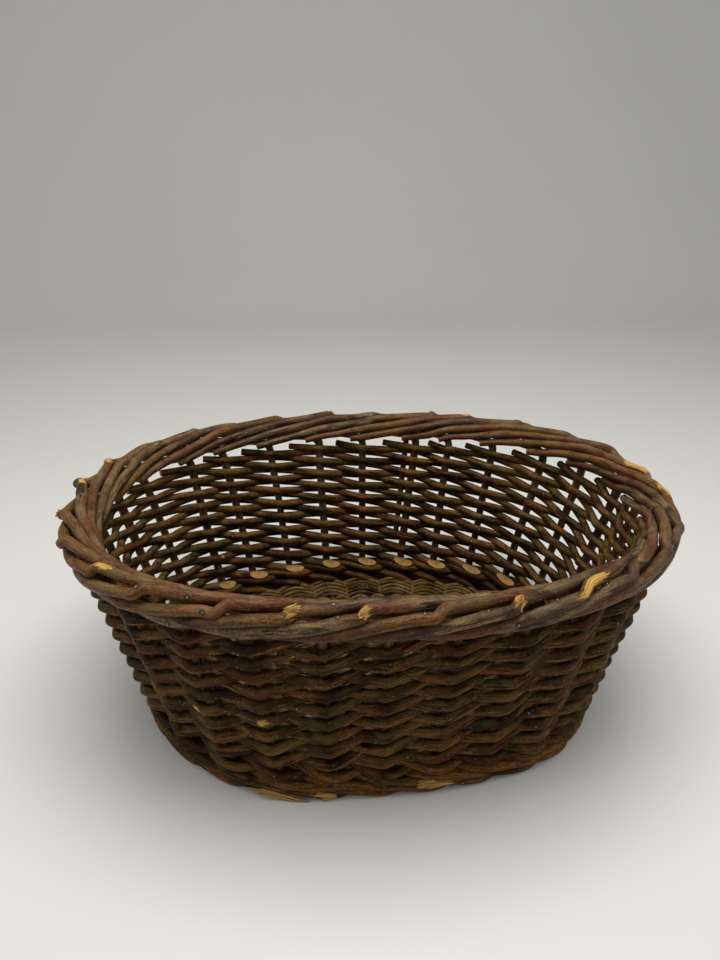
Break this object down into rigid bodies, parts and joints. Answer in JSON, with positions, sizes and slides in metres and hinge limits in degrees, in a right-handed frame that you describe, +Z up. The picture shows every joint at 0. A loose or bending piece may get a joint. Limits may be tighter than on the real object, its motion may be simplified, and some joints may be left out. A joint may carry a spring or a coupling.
{
  "type": "woven fruit basket",
  "caption": "Oval open basket of unpeeled willow rods: stakes that end in a rolled border, rods woven slanting up the flared side, waled foot and stick base.",
  "frame": {"origin": "on the ground under the middle of the base", "axes": "+X along the long axis of the oval, +Y to the back, +Z up"},
  "size_m": [0.4306, 0.3216, 0.1667],
  "materials": {
    "stake": "weathered grey-brown willow bark with a soft sheen",
    "weaver_brown": "reddish-brown willow bark, soft sheen",
    "weaver_dark": "dark maroon-brown willow bark, soft sheen",
    "weaver_olive": "olive-brown willow bark, soft sheen",
    "upsett": "dark olive-brown willow bark, dull",
    "base_weaver": "brown willow bark, dull",
    "base_stick": "thick pale brown willow sticks with cut ends"
  },
  "bodies": {
    "root": {"base_sticks_long": "base_stick", "base_sticks_cross": "base_stick", "base_weave": "base_weaver", "upsett_wale": "upsett", "stake_01": "stake", "stake_02": "stake", "stake_03": "stake", "stake_04": "stake", "stake_05": "stake", "stake_06": "stake", "stake_07": "stake", "stake_08": "stake", "stake_09": "stake", "stake_10": "stake", "stake_11": "stake", "stake_12": "stake", "stake_13": "stake", "stake_14": "stake", "stake_15": "stake", "stake_16": "stake", "stake_17": "stake", "stake_18": "stake", "stake_19": "stake", "stake_20": "stake", "stake_21": "stake", "stake_22": "stake", "stake_23": "stake", "stake_24": "stake", "stake_25": "stake", "stake_26": "stake", "stake_27": "stake", "stake_28": "stake", "side_rod_01": "weaver_brown", "side_rod_02": "weaver_dark", "side_rod_03": "weaver_olive", "side_rod_04": "weaver_brown", "side_rod_05": "weaver_dark", "side_rod_06": "weaver_olive", "side_rod_07": "weaver_brown", "side_rod_08": "weaver_dark", "side_rod_09": "weaver_olive", "side_rod_10": "weaver_brown", "side_rod_11": "weaver_dark", "side_rod_12": "weaver_olive", "side_rod_13": "weaver_brown", "side_rod_14": "weaver_dark", "side_rod_15": "weaver_olive", "side_rod_16": "weaver_brown", "side_rod_17": "weaver_dark", "side_rod_18": "weaver_olive", "side_rod_19": "weaver_brown", "side_rod_20": "weaver_dark", "side_rod_21": "weaver_olive", "side_rod_22": "weaver_brown", "side_rod_23": "weaver_dark", "side_rod_24": "weaver_olive", "side_rod_25": "weaver_brown", "side_rod_26": "weaver_dark", "side_rod_27": "weaver_olive", "side_rod_28": "weaver_brown"}
  },
  "joints": []
}
